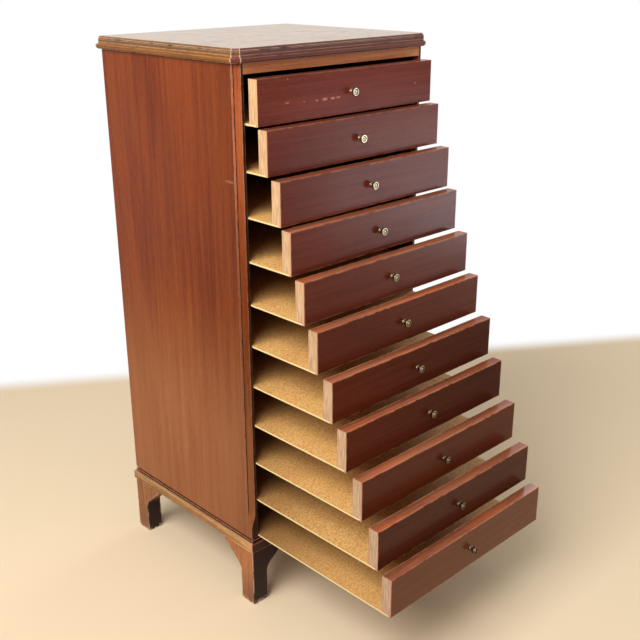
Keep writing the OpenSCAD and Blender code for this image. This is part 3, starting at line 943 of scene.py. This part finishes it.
# Each soft light: name, place, the point that it faces, width and height, watts and colour
LAMPS = (
    ("window", (-2.2, -0.45, 2.45), (0.0, 0.1, 0.45), (2.2, 1.9), 93.0, (1.0, 0.98, 0.95)),
    ("ceiling", (-0.3, 0.0, 3.3), (0.0, 0.1, 0.0), (2.6, 2.6), 12.0, (1.0, 1.0, 1.0)),
    ("reflector", (1.9, -1.5, 0.3), (0.0, -0.2, 0.6), (1.0, 0.55), 9.0, (0.88, 0.94, 1.0)),
    ("fill", (3.0, 0.6, 1.9), (0.0, 0.1, 0.5), (1.6, 1.6), 22.0, (1.0, 1.0, 1.0)),
)
# The camera that was fitted to the photo, with its focal length in the photo's pixels
CAMERA_AT = (-1.1347, -1.1544, 1.1257)
CAMERA_TILT = math.radians(68.988)
CAMERA_TURN = math.radians(-43.857)
CAMERA_ROLL = math.radians(-0.252)
PICTURE_SIDE = 640
FOCAL_PIXELS = 943.34
SENSOR_MM = 36.0


def shown(graph):
    """1 for what the camera sees, straight or by way of a gloss or a glass."""
    path = graph.node("LightPath").node.outputs
    seen = graph.math("MAXIMUM", path["Is Camera Ray"], path["Is Glossy Ray"])
    return graph.math("MAXIMUM", seen, path["Is Transmission Ray"])


def floor_paint():
    """Warm paint round the cabinet, and white further off. It throws less light than it shows."""
    graph = material_graph("floor_paint")
    x, y = graph.split(graph.place())[:2]
    distance = graph.node("VectorMath", {0: graph.place()}, output="Value", operation="LENGTH")
    behind = graph.blend((x, BEHIND[0]), (y, BEHIND[1]))
    pale = graph.math(
        "MAXIMUM", graph.step(behind, *WHITE_PAST), graph.step(distance, *WHITE_BEYOND))
    seen = shown(graph)
    bounce = graph.node("BsdfDiffuse", {"Color": FLOOR_BOUNCE})
    paint = graph.node("BsdfDiffuse", {"Color": FLOOR_SEEN})
    white = graph.node("Emission", {"Color": WHITE, "Strength": 1.0})
    near = graph.node("MixShader", {0: seen, 1: bounce, 2: paint})
    far = graph.node("MixShader", {0: seen, 1: bounce, 2: white})
    surface = graph.node("MixShader", {0: pale, 1: near, 2: far})
    graph.node("OutputMaterial", {"Surface": surface})
    return graph.owner


def floor():
    """A plain floor, on the stage only."""
    bpy.ops.mesh.primitive_plane_add(size=FLOOR_SIZE, location=(0.0, 0.0, 0.0))
    made = bpy.context.object
    made.name = "floor"
    made.data.materials.append(floor_paint())


def world():
    """A white background to the camera and to mirrors, and a softer light on the object."""
    graph = Graph(bpy.data.worlds.new("studio"))
    bpy.context.scene.world = graph.owner
    background = graph.node("Background", {"Color": WHITE, "Strength": 1.0})
    studio = graph.node("Background", {"Color": STUDIO_COLOUR, "Strength": STUDIO_STRENGTH})
    surround = graph.node("MixShader", {0: shown(graph), 1: studio, 2: background})
    graph.node("OutputWorld", {"Surface": surround})


def softbox(name, place, aim, size, watts, colour):
    """A soft rectangular light that faces a point and isn't seen itself."""
    lamp = bpy.data.lights.new(name, "AREA")
    lamp.shape = "RECTANGLE"
    lamp.size, lamp.size_y = size
    lamp.energy = watts
    lamp.color = colour
    made = bpy.data.objects.new(name, lamp)
    bpy.context.scene.collection.objects.link(made)
    made.location = place
    made.rotation_euler = (Vector(place) - Vector(aim)).to_track_quat("Z", "Y").to_euler()
    made.visible_camera = False


def camera():
    """A camera where the photo's was."""
    lens = bpy.data.cameras.new("camera")
    lens.sensor_width = SENSOR_MM
    lens.lens = FOCAL_PIXELS / PICTURE_SIDE * SENSOR_MM
    made = bpy.data.objects.new("camera", lens)
    bpy.context.scene.collection.objects.link(made)
    made.matrix_world = (
        Matrix.Translation(CAMERA_AT) @ Matrix.Rotation(CAMERA_TURN, 4, "Z")
        @ Matrix.Rotation(CAMERA_TILT, 4, "X") @ Matrix.Rotation(CAMERA_ROLL, 4, "Z"))
    bpy.context.scene.camera = made


dress_trays()
dress_sides()
dress_face()
dress_top()
dress_base()
dress_feet()
dress_inside()
world()
floor()
for lamp_row in LAMPS:
    softbox(*lamp_row)
camera()
bpy.context.scene.view_settings.view_transform = "Standard"
